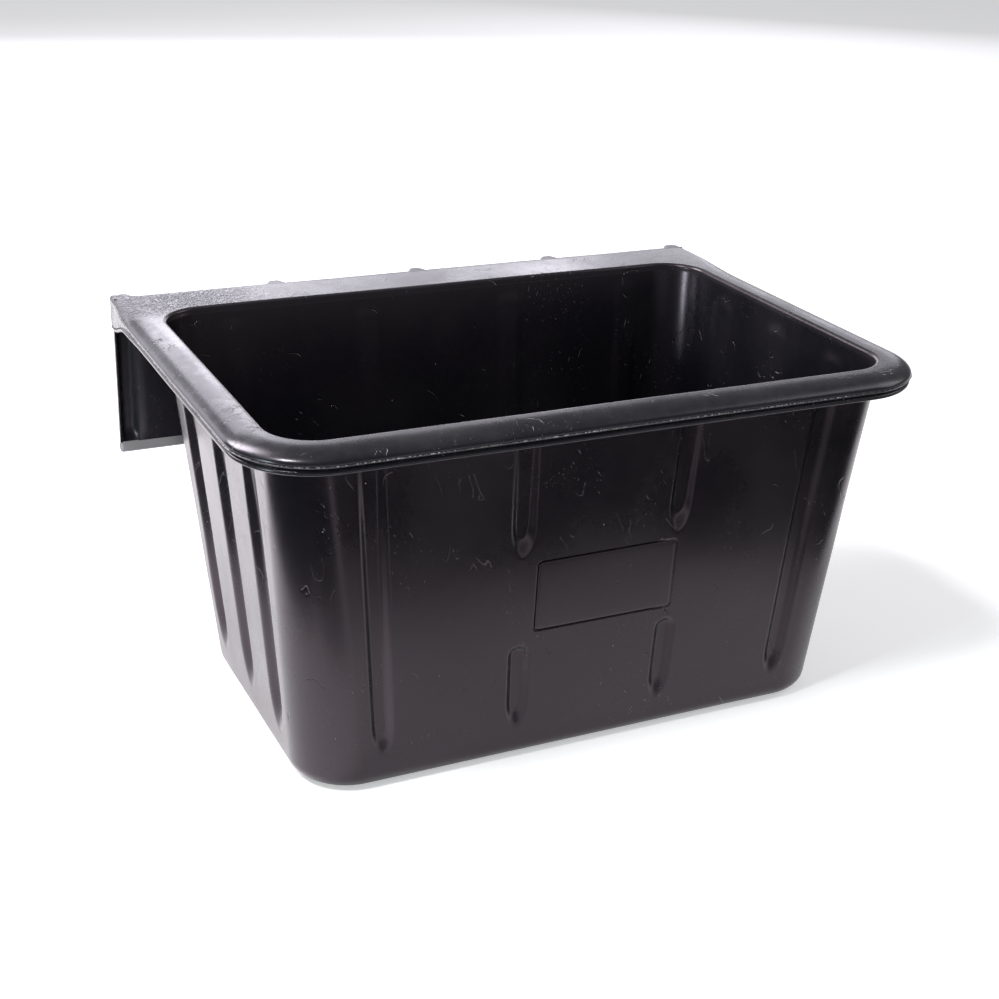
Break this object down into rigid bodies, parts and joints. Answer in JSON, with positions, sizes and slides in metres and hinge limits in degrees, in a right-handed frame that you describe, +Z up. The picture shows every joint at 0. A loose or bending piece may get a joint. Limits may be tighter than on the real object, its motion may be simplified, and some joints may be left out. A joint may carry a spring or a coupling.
{
  "type": "trough feeder",
  "caption": "Hook-over trough feeder: a deep tapered tub with a rolled rim and fluted walls, and a flat rear deck that turns down into a ribbed hook plate.",
  "frame": {"origin": "centre of the part's bounding box in plan, on the plane that the tub's flat base stands on", "axes": "+X along the trough, +Y towards the hook plate, -Y towards the trough's front, +Z up out of the mouth"},
  "size_m": [0.412, 0.2982, 0.214],
  "materials": {
    "tub_plastic": "semi-gloss black recycled polyethylene, with specks and fine scratches",
    "rim_plastic": "semi-gloss black recycled polyethylene, scuffed, with rough flash along the parting line",
    "hook_plastic": "satin black recycled polyethylene, lightly scuffed",
    "panel_plastic": "satin black recycled polyethylene, blank"
  },
  "bodies": {
    "root": {"tub_shell": "tub_plastic", "label_panel": "panel_plastic", "rolled_rim": "rim_plastic", "hanger_deck": "rim_plastic", "hook_plate": "hook_plastic", "hook_lip": "hook_plastic", "left_gusset": "rim_plastic", "right_gusset": "rim_plastic"}
  },
  "joints": []
}
